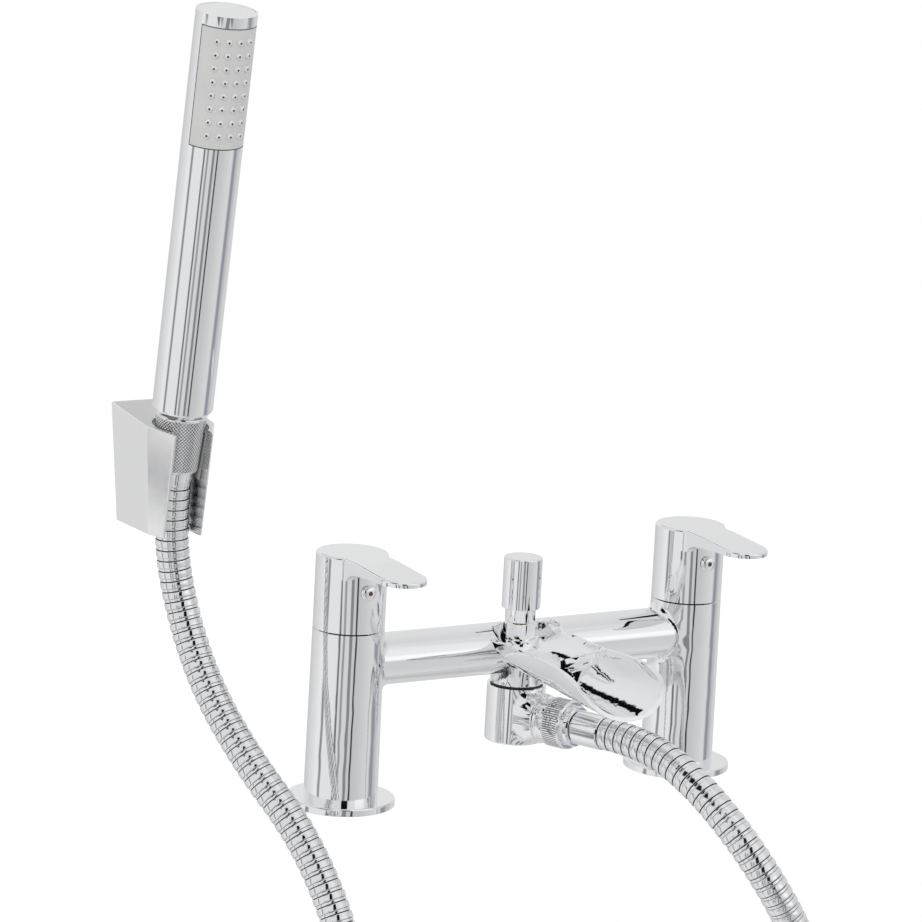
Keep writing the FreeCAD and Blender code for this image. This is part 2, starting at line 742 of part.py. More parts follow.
def ferrule(start, shoulder, end, base, direction):
    """A hose end: a flange held by the nut, a stem through it and the crimped sleeve."""
    return turned([(ferrule_bore_r, start), (ferrule_flange_r, start), (ferrule_flange_r, start + ferrule_flange_thick),
                   (ferrule_stem_r, start + ferrule_flange_thick), (ferrule_stem_r, shoulder),
                   (ferrule_r - 0.4, shoulder), (ferrule_r, shoulder + 0.4), (ferrule_r, end - 0.4),
                   (ferrule_r - 0.4, end), (ferrule_bore_r, end)], base, direction)


def route_points():
    """The whole route, from the lower end of the upper ferrule to the end of the lower one."""
    start = handset_base - handset_axis * upper_ferrule_end
    end = nozzle_base + outlet_axis * ferrule_end
    under = handset_base - handset_axis * (upper_ferrule_end + hose_first_run)
    ahead = nozzle_base + outlet_axis * (ferrule_end + hose_last_run)
    return [start, under] + [Vec(*point) for point in hose_route] + [ahead, end]


def hose():
    """The hose as straight runs joined by arcs as large as the runs allow."""
    points = route_points()
    edges = []
    last = points[0]
    length = 0.0
    radii = []
    for i in range(1, len(points) - 1):
        before = points[i] - points[i - 1]
        after = points[i + 1] - points[i]
        turn = before.getAngle(after)
        trim = bend_share * min(before.Length, after.Length)
        radius = trim / math.tan(turn / 2)
        radii.append(round(radius))
        into = points[i] - before.normalize() * trim
        out = points[i] + after.normalize() * trim
        inward = (into + out) * 0.5 - points[i]
        inward.normalize()
        middle = points[i] + inward * (radius / math.cos(turn / 2) - radius)
        edges.append(Part.makeLine(last, into))
        edges.append(Part.Arc(into, middle, out).toShape())
        last = out
    edges.append(Part.makeLine(last, points[-1]))
    path = Part.Wire(edges)
    section = Part.Wire([Part.makeCircle(hose_r, points[0], handset_axis)])
    shape = path.makePipeShell([section], True, False)
    print("hose length", round(path.Length), "radii", min(radii), radii)
    print("hose volume over section times length", round(shape.Volume / (math.pi * hose_r ** 2 * path.Length), 4))
    return shape


def handset_tube():
    """The long handle and head of the handset, one tube with a window for the spray plate."""
    inner = handset_r - handset_wall
    shell = turned([(inlet_r + thread_gap, 0), (cone_nut_top_r, 0), (handset_r, handset_bevel),
                    (handset_r, handset_length), (handset_r - handset_rim, handset_length),
                    (handset_r - handset_rim, handset_length - 0.5), (inner, handset_length - 0.5),
                    (inner, inlet_collar), (inlet_r + thread_gap, inlet_collar)])
    window = plate_ring(plate_gap, 2.0, -2.0)
    return shell.cut(window)


def plate_ring(gap, outward, inward):
    """The curved block of the spray plate, grown by a gap round its edges."""
    ring = tube(handset_r + outward, handset_r - plate_thick + inward, plate_bottom - gap, plate_top + gap)
    edge_deg = math.degrees(gap / handset_r)
    half = math.radians(plate_half_deg + edge_deg)
    far = handset_r * 2
    wedge = prism([Vec(0, 0, 0), Vec(-far * math.sin(half), -far * math.cos(half), 0), Vec(-far, -2 * far, 0),
                   Vec(far, -2 * far, 0), Vec(far * math.sin(half), -far * math.cos(half), 0)],
                  Vec(0, 0, handset_length))
    return ring.common(wedge)


def spray_plate():
    """The curved plate that carries the nozzles."""
    plate = plate_ring(0, 0, 0)
    for angle, height in nozzle_places():
        facing = Vec(math.sin(angle), -math.cos(angle), 0)
        plate = plate.cut(rod(nozzle_base_r + 0.02, 0, handset_r + 1, Vec(0, 0, height), facing))
    return plate


def nozzle_places():
    """Angle and height of every nozzle."""
    top = (plate_top + plate_bottom + (nozzle_rows - 1) * nozzle_row_pitch) / 2
    places = []
    for row in range(nozzle_rows):
        for column in range(nozzle_columns):
            angle = math.radians((column - (nozzle_columns - 1) / 2) * nozzle_column_deg)
            places.append((angle, top - row * nozzle_row_pitch))
    return places


def spray_nozzles():
    """The soft nozzles, one solid each."""
    tip = handset_r + nozzle_proud
    root = handset_r - plate_thick
    nozzles = []
    for angle, height in nozzle_places():
        facing = Vec(math.sin(angle), -math.cos(angle), 0)
        nozzles.append(turned([(0, root), (nozzle_base_r, root), (nozzle_base_r, handset_r),
                               (nozzle_tip_r, tip), (0, tip)], Vec(0, 0, height), facing))
    return Part.makeCompound(nozzles)


def handset_end_cap():
    """The disc that closes the top of the handset."""
    inner = handset_r - handset_wall
    return rod(inner - 0.02, handset_length - 3, handset_length - 0.5).fuse(
        rod(handset_r - handset_rim - 0.12, handset_length - 0.5, handset_length - 0.15))


def handset_inlet():
    """The threaded spigot at the handset's lower end."""
    return turned([(inlet_bore_r, -inlet_engaged), (inlet_r - 0.6, -inlet_engaged), (inlet_r, 0.6 - inlet_engaged),
                   (inlet_r, inlet_collar), (handset_r - handset_wall - 0.02, inlet_collar),
                   (handset_r - handset_wall - 0.02, inlet_collar + 4), (inlet_bore_r, inlet_collar + 4)])


def cone_nut_radius(below):
    """The cone nut's outer radius at a distance below the handset's end."""
    return cone_nut_top_r + (cone_nut_bottom_r - cone_nut_top_r) * below / cone_nut_length


def cone_nut():
    """The conical nut that rests in the bracket."""
    thread_end = inlet_engaged + hose_washer_thick + ferrule_flange_thick
    top = -easy_gap
    return turned([(inlet_r + running_gap, top), (cone_nut_radius(easy_gap) - 0.3, top),
                   (cone_nut_radius(easy_gap + 0.5), top - 0.5), (cone_nut_radius(cone_nut_length), -cone_nut_length),
                   (ferrule_stem_r + thread_gap, -cone_nut_length), (ferrule_stem_r + thread_gap, -thread_end),
                   (ferrule_flange_r + thread_gap, -thread_end), (ferrule_flange_r + thread_gap, -inlet_engaged),
                   (inlet_r + running_gap, -inlet_engaged)])


def bracket_outline(half, side_y, front_y, height):
    """The bracket seen from above: straight sides and slanted jaws."""
    slot = bracket_slot_half + 0.6
    corners = [Vec(-half, bracket_back_y, height), Vec(-half, side_y, height), Vec(-slot, front_y, height),
               Vec(slot, front_y, height), Vec(half, side_y, height), Vec(half, bracket_back_y, height)]
    return Part.makePolygon(corners + corners[:1])


def bracket_body():
    """The wedge-shaped wall bracket with its sloping seat and front slot."""
    slope = math.tan(lean)
    seat_above = 6.0
    bracket_depth = 1.5 * (bracket_top_z - bracket_bottom_z)
    above = bracket_top_z + seat_above
    below = bracket_bottom_z
    rise = (above - bracket_bottom_z) / (bracket_top_z - bracket_bottom_z)
    top_half = bracket_bottom_half + (bracket_top_half - bracket_bottom_half) * rise
    shift = bracket_undercut * (rise - 1)
    low = bracket_outline(bracket_bottom_half, bracket_side_y + bracket_undercut / 2,
                          bracket_front_y + bracket_undercut, below)
    high = bracket_outline(top_half, bracket_side_y - shift / 2, bracket_front_y - shift, above)
    wedge = Part.makeLoft([low, high], True, True)
    aside = 2 * bracket_top_half
    fall = bracket_back_y * slope
    over = prism([Vec(-aside, bracket_back_y, bracket_top_z), Vec(-aside, 0, bracket_top_z - fall),
                  Vec(-aside, 0, 2 * above), Vec(-aside, bracket_back_y, 2 * above)], Vec(2 * aside, 0, 0))
    wedge = wedge.cut(over).removeSplitter()

    def outer_edge(edge):
        box = edge.BoundBox
        return box.YMin < bracket_back_y - 1

    wedge = rounded(wedge, bracket_edge_r, outer_edge)
    wedge.translate(Vec(handset_x, 0, 0))
    deep = liner_start + liner_length
    around = liner_wall + easy_gap + thread_gap
    seat = turned([(0, seat_above), (cone_nut_radius(-seat_above) + around, seat_above),
                   (cone_nut_radius(deep) + around, -deep), (0, -deep)], handset_base, handset_axis)
    channel = rod(bracket_slot_half, -bracket_depth, seat_above, handset_base, handset_axis)
    mouth = placed(block(-bracket_slot_half, bracket_slot_half, -bracket_back_y, 0, -bracket_depth, seat_above),
                   handset_base, handset_axis)
    wedge = wedge.cut(seat).cut(channel).cut(mouth)
    pocket = block(handset_x - wall_plate_half - 0.2, handset_x + wall_plate_half + 0.2,
                   bracket_back_y - wall_plate_thick, bracket_back_y + 1,
                   wall_plate_bottom_z - 0.2, wall_plate_top_z + 0.2)
    screw_y = bracket_back_y - wall_plate_thick / 2
    clamp = rod(clamp_screw_r + thread_gap, bracket_bottom_z - 1, wall_plate_bottom_z, Vec(handset_x, screw_y, 0))
    return wedge.cut(pocket).cut(clamp)


def bracket_liner():
    """The plastic liner between the bracket and the cone nut, open at the front."""
    low = -(liner_start + liner_length)
    high = -liner_start
    gap = easy_gap
    liner = turned([(cone_nut_radius(-low) + gap, low + 0.02), (cone_nut_radius(-low) + gap + liner_wall, low + 0.02),
                    (cone_nut_radius(-high) + gap + liner_wall, high), (cone_nut_radius(-high) + gap, high)])
    mouth = block(-bracket_slot_half - 0.1, bracket_slot_half + 0.1, -bracket_back_y, 0, low - 1, high + 1)
    return liner.cut(mouth)


def wall_plate():
    """The plate screwed to the wall behind the bracket."""
    plate = block(handset_x - wall_plate_half, handset_x + wall_plate_half,
                  bracket_back_y - wall_plate_thick + 0.02, bracket_back_y, wall_plate_bottom_z, wall_plate_top_z)
    middle = (wall_plate_bottom_z + wall_plate_top_z) / 2
    for side in (-1, 1):
        hole_base = Vec(handset_x, bracket_back_y - wall_plate_thick - 1, middle + side * wall_screw_pitch / 2)
        plate = plate.cut(rod(wall_screw_r, 0, wall_plate_thick + 2, hole_base, Vec(0, 1, 0)))
    return plate


def clamp_screw():
    """The small screw that holds the bracket on its plate from below."""
    screw_y = bracket_back_y - wall_plate_thick / 2
    low = wall_plate_bottom_z - 0.02 - clamp_screw_length
    screw = rod(clamp_screw_r - 0.1, low, low + clamp_screw_length, Vec(handset_x, screw_y, 0))
    return screw.cut(hexagon(1.5, low - 1, low + 1.5, Vec(handset_x, screw_y, 0)))



def at_pillar(shape, side):
    """A copy of a piece made on the Z axis, moved to one pillar."""
    moved = shape.copy()
    moved.translate(Vec(side * pillar_x, 0, 0))
    return moved


save("mixer_body", mixer_body())
tail_pieces = {
    "base_flange": base_flange(),
    "base_seal": tube(seal_r, tail_r + easy_gap, 0, seal_thick),
    "inlet_tail": inlet_tail(),
    "deck_washer": tube(washer_r, tail_r + easy_gap, -deck_thick - washer_thick, -deck_thick),
    "back_nut": back_nut(),
    "cartridge_seat": tube(cartridge_bore_r - 0.2, 5.0, seat_z, cartridge_seat_top_z),
    "cartridge_body": cartridge_body(),
    "fixed_disc": ceramic_disc(fixed_disc_bottom_z),
    "turning_disc": ceramic_disc(turning_disc_bottom_z),
    "spindle": spindle(),
    "lever_handle": lever_handle(),
    "index_button": index_button(),
    "index_dot": index_dot(),
    "grub_screw": grub_screw(),
}
for side, word in ((-1, "left_"), (1, "right_")):
    for name, shape in tail_pieces.items():
        save(word + name, at_pillar(shape, side))
save("diverter_sleeve", diverter_sleeve())
save("diverter_knob", diverter_knob())
save("diverter_rod", diverter_rod())
save("diverter_valve", diverter_valve())
save("diverter_spring", diverter_spring())
save("outlet_body", outlet_body())
save("outlet_plug", outlet_plug())
save("outlet_o_ring", outlet_o_ring())
save("hose_nut", hose_nut())
washer_start = nozzle_end
save("lower_washer", tube(ferrule_flange_r, ferrule_bore_r, washer_start, washer_start + hose_washer_thick,
                          nozzle_base, outlet_axis))
save("lower_ferrule", ferrule(nozzle_end + hose_washer_thick, hose_nut_end + 0.4, ferrule_end,
                              nozzle_base, outlet_axis))
save("shower_hose", hose())
down = handset_axis * -1
save("upper_ferrule", ferrule(inlet_engaged + hose_washer_thick, cone_nut_length + 0.4, upper_ferrule_end,
                              handset_base, down))
save("upper_washer", tube(ferrule_flange_r, ferrule_bore_r, inlet_engaged, inlet_engaged + hose_washer_thick,
                          handset_base, down))
for name, shape in (("cone_nut", cone_nut()), ("bracket_liner", bracket_liner())):
    save(name, placed(shape, handset_base, handset_axis))
for name, shape in (("handset_tube", handset_tube()), ("spray_plate", spray_plate()),
                    ("spray_nozzles", spray_nozzles()), ("handset_end_cap", handset_end_cap()),
                    ("handset_inlet", handset_inlet())):
    save(name, placed(shape, handset_base, handset_axis, handset_turned_deg))
save("bracket_body", bracket_body())
save("wall_plate", wall_plate())
save("clamp_screw", clamp_screw())
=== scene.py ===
import json
import math
import bmesh
import bpy
from mathutils import Matrix, Vector

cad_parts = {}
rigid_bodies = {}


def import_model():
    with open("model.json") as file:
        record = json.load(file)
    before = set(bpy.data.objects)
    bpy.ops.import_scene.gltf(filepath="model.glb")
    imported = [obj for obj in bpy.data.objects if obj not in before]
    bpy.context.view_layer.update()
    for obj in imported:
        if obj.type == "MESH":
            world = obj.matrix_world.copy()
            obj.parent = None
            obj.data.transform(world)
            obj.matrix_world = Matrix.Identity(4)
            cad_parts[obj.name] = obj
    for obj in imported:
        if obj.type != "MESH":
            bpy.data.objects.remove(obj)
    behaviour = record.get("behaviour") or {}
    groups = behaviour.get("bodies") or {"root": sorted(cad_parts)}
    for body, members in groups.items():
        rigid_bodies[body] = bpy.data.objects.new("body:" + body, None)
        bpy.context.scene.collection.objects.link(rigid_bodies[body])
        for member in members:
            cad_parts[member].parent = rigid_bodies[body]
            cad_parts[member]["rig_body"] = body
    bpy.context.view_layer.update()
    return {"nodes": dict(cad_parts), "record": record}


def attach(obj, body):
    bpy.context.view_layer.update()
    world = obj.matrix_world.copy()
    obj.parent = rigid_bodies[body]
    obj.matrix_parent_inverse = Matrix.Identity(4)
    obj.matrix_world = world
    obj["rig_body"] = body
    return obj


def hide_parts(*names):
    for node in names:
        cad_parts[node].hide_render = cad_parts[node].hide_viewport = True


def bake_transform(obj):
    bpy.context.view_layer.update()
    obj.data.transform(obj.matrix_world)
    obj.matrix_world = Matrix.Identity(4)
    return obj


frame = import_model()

scene = bpy.context.scene
scene.view_settings.view_transform = "Standard"
mm = 0.001
up = Vector((0, 0, 1))
bodyOf = {node: thing["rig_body"] for node, thing in frame["nodes"].items()}

# The camera stands where the photograph's perspective puts it
cameraPlan = {
    "place": (-1.22316, -1.94527, 0.63764),
    "turn": -31.395,  # degrees off the object's front
    "dip": 11.991,  # degrees looking down
    "roll": -3.063,
    "lens": 202.76,  # on a 36 mm square frame
}


def placeCamera(plan):
    turn, dip, roll = (math.radians(plan[key]) for key in ("turn", "dip", "roll"))
    ahead = Vector((-math.sin(turn) * math.cos(dip), math.cos(turn) * math.cos(dip), -math.sin(dip)))
    level = ahead.cross(up).normalized()
    below = ahead.cross(level)
    right = level * math.cos(roll) + below * math.sin(roll)
    down = below * math.cos(roll) - level * math.sin(roll)
    data = bpy.data.cameras.new("camera")
    data.lens = plan["lens"]
    data.sensor_width = data.sensor_height = 36
    data.clip_start = 0.05
    data.clip_end = 50
    camera = bpy.data.objects.new("camera", data)
    pose = Matrix((right, -down, -ahead)).transposed().to_4x4()
    pose.translation = Vector(plan["place"])
    camera.matrix_world = pose
    scene.collection.objects.link(camera)
    scene.camera = camera


placeCamera(cameraPlan)
print("camera placed")


class Wire:
    # One socket of a node tree. Python's operators on it add Math nodes.
    def __init__(self, tree, socket=None):
        self.tree = tree
        self.socket = socket

    def node(self, kind, settings=None, sockets=None, out=0):
        node = self.tree.nodes.new("ShaderNode" + kind)
        for key, value in (settings or {}).items():
            if key == "stops":
                stops = node.color_ramp.elements
                while len(stops) < len(value):
                    stops.new(0.5)
                for stop, (place, colour) in zip(stops, value):
                    stop.position = place
                    stop.color = (*colour, 1)
            else:
                setattr(node, key, value)
        for key, value in (sockets or {}).items():
            if isinstance(value, Wire):
                self.tree.links.new(value.socket, node.inputs[key])
            else:
                node.inputs[key].default_value = value
        return Wire(self.tree, node.outputs[out] if node.outputs else None)

    def maths(self, operation, first, second):
        return self.node("Math", {"operation": operation}, {0: first, 1: second})

    def __add__(self, other):
        return self.maths("ADD", self, other)

    def __radd__(self, other):
        return self.maths("ADD", other, self)

    def __sub__(self, other):
        return self.maths("SUBTRACT", self, other)

    def __rsub__(self, other):
        return self.maths("SUBTRACT", other, self)

    def __mul__(self, other):
        return self.maths("MULTIPLY", self, other)

    def __rmul__(self, other):
        return self.maths("MULTIPLY", other, self)

    def __truediv__(self, other):
        return self.maths("DIVIDE", self, other)

    def __rtruediv__(self, other):
        return self.maths("DIVIDE", other, self)


def newFinish(name):
    material = bpy.data.materials.new(name)
    material.use_nodes = True
    material.node_tree.nodes.clear()
    return material, Wire(material.node_tree)


def lin(value):
    # a screen value from 0 to 255 as the light it stands for
    share = value / 255
    return share / 12.92 if share <= 0.04045 else ((share + 0.055) / 1.055) ** 2.4


def grey(value):
    return (lin(value),) * 3


def patches(start, scale, detail=3.0, rough=0.5, stretch=None):
    place = start.node("TexCoord", out=3)  # Object coordinates
    if stretch:
        place = start.node("Mapping", None, {"Vector": place, "Scale": stretch})
    return start.node("TexNoise", None, {"Vector": place, "Scale": scale, "Detail": detail, "Roughness": rough})


def between(start, share, first, second):
    return start.node("Mix", {"data_type": "RGBA"}, {0: share, 6: (*first, 1), 7: (*second, 1)}, out=2)


def spread(start, share, low, high):
    # noise lies mostly between 0.35 and 0.65
    return start.node("MapRange", None, {"Value": share, "From Min": 0.35, "From Max": 0.65,
                                         "To Min": low, "To Max": high})


def finishFrom(name, build):
    material, start = newFinish(name)
    sockets = build(start)
    shader = start.node("BsdfPrincipled", None, sockets)
    start.node("OutputMaterial", None, {"Surface": shader})
    return material


chromeLook = {
    "tint": (0.905, 0.91, 0.92),
    "shade": (0.875, 0.882, 0.895),
    "gloss": (0.025, 0.06),
    "wave": 0.05,
    "waveScale": 38,
    "waveDepth": 0.0006,
    "cloudScale": 22,
    "fineScale": 260,
    "fineShare": 0.3,
}


def chromeBuild(**changes):
    look = {**chromeLook, **changes}

    def build(start):
        cloud = patches(start, look["cloudScale"], 4, 0.6)
        fine = patches(start, look["fineScale"], 3, 0.55)
        wave = patches(start, look["waveScale"], 1, 0.3)
        smear = cloud * (1 - look["fineShare"]) + fine * look["fineShare"]
        return {
            "Base Color": between(start, cloud, look["shade"], look["tint"]),
            "Metallic": 1.0,
            "Roughness": spread(start, smear, *look["gloss"]),
            "Normal": start.node("Bump", None, {"Strength": look["wave"], "Distance": look["waveDepth"],
                                                "Height": wave}),
        }
    return build


def brassBuild(start):
    cloud = patches(start, 60, 4, 0.6)
    rings = start.node("TexWave", {"wave_type": "BANDS", "bands_direction": "Z"},
                       {"Vector": start.node("TexCoord", out=3), "Scale": 900, "Distortion": 1.5, "Detail": 2})
    bump = start.node("Bump", None, {"Strength": 0.25, "Distance": 0.00005, "Height": rings})
    return {"Base Color": between(start, cloud, (0.55, 0.38, 0.14), (0.68, 0.50, 0.22)), "Metallic": 1.0,
            "Roughness": spread(start, cloud, 0.22, 0.38), "Normal": bump}


def steelBuild(start):
    grain = patches(start, 300, 3, 0.6, (1, 1, 12))
    cloud = patches(start, 50, 3, 0.6)
    bump = start.node("Bump", None, {"Strength": 0.2, "Distance": 0.00004, "Height": grain})
    return {"Base Color": between(start, cloud, (0.50, 0.51, 0.53), (0.62, 0.63, 0.65)), "Metallic": 1.0,
            "Roughness": spread(start, grain, 0.25, 0.4), "Normal": bump}


def plainBuild(dark, light, gloss, scale=400, depth=0.00004, coat=0.0):
    # a plastic, rubber, print or ceramic between two tones and two roughnesses
    def build(start):
        cloud = patches(start, 45, 4, 0.6)
        grain = patches(start, scale, 3, 0.6)
        return {
            "Base Color": between(start, cloud, dark, light),
            "Roughness": spread(start, cloud * 0.5 + grain * 0.5, *gloss),
            "Normal": start.node("Bump", None, {"Strength": 0.3, "Distance": depth, "Height": grain}),
            "Coat Weight": coat,
        }
    return build


finishes = {
    "chrome": finishFrom("polished chrome", chromeBuild()),
    "hose_metal": finishFrom("hose chrome", chromeBuild(
        tint=(0.87, 0.875, 0.885), shade=(0.80, 0.805, 0.82), gloss=(0.06, 0.14), wave=0.06, waveScale=90)),
    "knurled": finishFrom("knurled chrome", chromeBuild(
        tint=(0.88, 0.885, 0.89), shade=(0.80, 0.805, 0.815), gloss=(0.12, 0.2), wave=0.02)),
    # darker chrome for the nuts' groove faces: painted shade in the recesses
    "groove": finishFrom("chrome darkened as painted shade in grooves", chromeBuild(
        tint=(0.40, 0.40, 0.41), shade=(0.30, 0.30, 0.31), gloss=(0.2, 0.3), wave=0.02)),
    "satin": finishFrom("bracket chrome", chromeBuild(
        tint=(0.93, 0.932, 0.935), shade=(0.90, 0.902, 0.906), gloss=(0.2, 0.28), wave=0.03)),
    "brass": finishFrom("turned brass", brassBuild),
    "steel": finishFrom("plain steel", steelBuild),
    "rubber": finishFrom("black rubber", plainBuild((0.018, 0.018, 0.02), (0.03, 0.03, 0.033), (0.5, 0.7))),
    "white_plastic": finishFrom("button plastic", plainBuild(
        (0.80, 0.80, 0.81), (0.86, 0.86, 0.87), (0.12, 0.2), 300, 0.00002, 0.5)),
    "grey_plastic": finishFrom("spray plate plastic", plainBuild(
        (0.56, 0.56, 0.555), (0.64, 0.64, 0.635), (0.38, 0.5), 900, 0.00005)),
    "nozzle_rubber": finishFrom("nozzle rubber", plainBuild(
        (0.62, 0.62, 0.63), (0.72, 0.72, 0.73), (0.35, 0.5), 700, 0.00003)),
    "ceramic": finishFrom("ground ceramic", plainBuild(
        (0.82, 0.81, 0.77), (0.9, 0.89, 0.86), (0.1, 0.2), 500, 0.00002)),
    "dot_hot": finishFrom("hot dot print", plainBuild((0.085, 0.035, 0.035), (0.12, 0.05, 0.05), (0.3, 0.4))),
    "dot_cold": finishFrom("cold dot print", plainBuild((0.04, 0.04, 0.1), (0.06, 0.06, 0.14), (0.3, 0.4))),
    # near black for the nozzle holes, the plate's border gap and the hose's slits: painted shade
    "dark": finishFrom("painted shade in gaps, holes and slits", plainBuild((0.012, 0.012, 0.013), (0.02, 0.02, 0.022), (0.5, 0.6))),
}
slotOf = {row["node"]: row["material_slot"] for row in frame["record"]["subparts"]}
for node, slot in slotOf.items():
    thing = frame["nodes"][node]
    thing.data.materials.clear()
    thing.data.materials.append(finishes[slot])
print("finishes made")

# The studio: a pale room whose greys the chrome mirrors, a white deck under the tap and a floor below the hose
studioPlan = {
    "cameraSide": -121.4,  # degrees from +X of the camera, seen from the object
    # degrees to the right of the camera and the screen value seen there, above and below the horizon
    "high": [(-180, 224), (-150, 226), (-122, 221), (-104, 208), (-84, 224), (-50, 226), (-20, 224), (0, 220),
             (25, 222), (45, 230), (66, 236), (85, 222), (104, 212), (135, 216), (165, 221)],
    "low": [(-180, 202), (-150, 199), (-130, 210), (-105, 221), (-88, 232), (-60, 226), (-35, 226), (-12, 212),
            (10, 209), (26, 190), (50, 198), (68, 206), (88, 214), (104, 196), (122, 186), (136, 206), (160, 206)],
    "top": 226,
    # cards that stand in the room: left, right, lowest, highest (degrees), soft edge, screen colour
    "cards": [
        (48, 78, 4, 18, 4, (253, 253, 253)),
        (-60, -21, 26, 60, 3, (12, 12, 13)),
        (-180, -163, 26, 35, 1, (10, 10, 11)),
        (4, 25, -6, 40, 1, (10, 10, 11)),
        (6, 15, -32, -8, 1.5, (132, 132, 134)),
        (-15, -8, -34, -4, 2, (150, 150, 152)),
        (-77, -68, -45, -4, 3, (140, 140, 143)),
        (-28, -22, -40, -4, 1.5, (112, 112, 115)),
        (24, 29, -40, -4, 1.2, (52, 52, 54)),
        (97, 114, -35, -4, 4, (146, 146, 158)),
    ],
    "horizon": (-4, 2),
    "overhead": (60, 80),
    "strength": 1.1,
    "plainLight": 0.80,
}


def softStep(start, value, low, high):
    return start.node("MapRange", {"interpolation_type": "SMOOTHSTEP"},
                      {"Value": value, "From Min": low, "From Max": high})


def window(start, value, low, high, soft):
    # 1 between two angles and 0 outside, with soft edges
    rise = softStep(start, value, low - soft, low + soft)
    return rise - rise * softStep(start, value, high - soft, high + soft)


def roomLight(plan):
    world = bpy.data.worlds.new("room")
    scene.world = world
    world.use_nodes = True
    world.node_tree.nodes.clear()
    start = Wire(world.node_tree)
    way = start.node("TexCoord")
    parts = start.node("SeparateXYZ", None, {0: way})
    x, y, z = (Wire(world.node_tree, parts.socket.node.outputs[i]) for i in range(3))
    turn = start.maths("ARCTAN2", y, x) / (2 * math.pi) - plan["cameraSide"] / 360 + 1.5
    turn = start.node("Math", {"operation": "FRACT"}, {0: turn})
    bearing = turn * 360 - 180
    height = start.node("Math", {"operation": "ARCSINE"}, {0: z}) * (180 / math.pi)
    high, low = (start.node("ValToRGB", {"stops": [((angle + 180) / 360, grey(value)) for angle, value in plan[key]]},
                            {0: turn}) for key in ("high", "low"))
    above = softStep(start, height, *plan["horizon"])
    seen = start.node("Mix", {"data_type": "RGBA"}, {0: above, 6: low, 7: high}, out=2)
    overhead = softStep(start, height, *plan["overhead"])
    seen = start.node("Mix", {"data_type": "RGBA"}, {0: overhead, 6: seen, 7: (*grey(plan["top"]), 1)}, out=2)
    for left, right, lowest, highest, soft, colour in plan["cards"]:
        share = window(start, bearing, left, right, soft) * window(start, height, lowest, highest, soft)
        seen = start.node("Mix", {"data_type": "RGBA"}, {0: share, 6: seen, 7: (*map(lin, colour), 1)}, out=2)
    seen = start.node("Background", None, {"Color": seen, "Strength": plan["strength"]})
    path = start.node("LightPath")
    glossy, through, camera = (Wire(path.tree, path.socket.node.outputs[f"Is {kind} Ray"])
                               for kind in ("Glossy", "Transmission", "Camera"))
    shiny = start.maths("MAXIMUM", glossy, through)
    white = start.node("Background", None, {"Color": (1, 1, 1, 1), "Strength": 1.0})
    plain = start.node("Background", None, {"Color": (1, 1, 1, 1), "Strength": plan["plainLight"]})
    light = start.node("MixShader", None, {0: shiny, 1: plain, 2: seen})
    light = start.node("MixShader", None, {0: camera, 1: light, 2: white})
    start.node("OutputWorld", None, {"Surface": light})


roomLight(studioPlan)


lampPlan = {
    "aim": (0, 0, 0.1),
    "size": 1.6,
    "lamps": [("key lamp", (-1.6, -1.4, 2.2), 22), ("fill lamp", (1.8, -1.2, 1.6), 8)],  # name, place, power
}


def softLamps(plan):
    for name, place, power in plan["lamps"]:
        data = bpy.data.lights.new(name, "AREA")
        data.shape = "SQUARE"
        data.size = plan["size"]
        data.energy = power
        lamp = bpy.data.objects.new(name, data)
        lamp.visible_glossy = False
        lamp.visible_camera = False
        lamp.location = place
        lamp.rotation_euler = (Vector(plan["aim"]) - Vector(place)).to_track_quat("-Z", "Y").to_euler()
        scene.collection.objects.link(lamp)


softLamps(lampPlan)

paintPlan = {"plain": 0.8, "shade": 0.25, "glow": 0.84}  # for all other rays, and the two parts of the camera's white


def whitePaint(name, plan):
    # a white surface that only keeps the object's shadow
    material, start = newFinish(name)
    path = start.node("LightPath")
    paint = start.node("BsdfDiffuse", None, {"Color": (*[plan["plain"]] * 3, 1)})
    shade = start.node("BsdfDiffuse", None, {"Color": (*[plan["shade"]] * 3, 1)})
    glow = start.node("Emission", None, {"Color": (1, 1, 1, 1), "Strength": plan["glow"]})
    white = start.node("AddShader", None, {0: shade, 1: glow})
    camera = Wire(path.tree, path.socket.node.outputs["Is Camera Ray"])
    mixed = start.node("MixShader", None, {0: camera, 1: paint, 2: white})
    start.node("OutputMaterial", None, {"Surface": mixed})
    return material


def keep(mesh, name, material, body, smooth=None):
    data = bpy.data.meshes.new(name)
    mesh.to_mesh(data)
    mesh.free()
    thing = bpy.data.objects.new(name, data)
    scene.collection.objects.link(thing)
    data.materials.append(material)
    if smooth is not None:
        data.shade_smooth()
        data.set_sharp_from_angle(angle=math.radians(smooth))
    if body:
        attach(thing, body)
    return thing


stagePlan = {"deckFront": -0.028, "deckReach": 0.75, "apron": 0.062, "floor": -0.43, "floorReach": 0.9}


def whiteStage(plan):
    # the deck ends in front with a short apron, because the hose hangs before it
    paint = whitePaint("white surface", paintPlan)
    deck = bmesh.new()
    bmesh.ops.create_grid(deck, x_segments=1, y_segments=1, size=plan["deckReach"])
    for vert in deck.verts:
        vert.co.y = max(vert.co.y, plan["deckFront"])
    front = [edge for edge in deck.edges if all(vert.co.y < 0 for vert in edge.verts)]
    made = bmesh.ops.extrude_edge_only(deck, edges=front)["geom"]
    lower = [part for part in made if isinstance(part, bmesh.types.BMVert)]
    bmesh.ops.translate(deck, verts=lower, vec=(0, 0, -plan["apron"]))
    bmesh.ops.recalc_face_normals(deck, faces=deck.faces)
    floor = bmesh.new()
    bmesh.ops.create_grid(floor, x_segments=1, y_segments=1, size=plan["floorReach"])
    bmesh.ops.translate(floor, verts=floor.verts, vec=(0, 0, plan["floor"]))
    for mesh, name in ((deck, "deck"), (floor, "floor")):
        thing = keep(mesh, name, paint, None)
        thing.visible_glossy = False


whiteStage(stagePlan)
print("room, deck and floor made")


dressPlan = {"angle": 28, "merge": 2e-6, "sliver": 1e-6, "weight": 90}


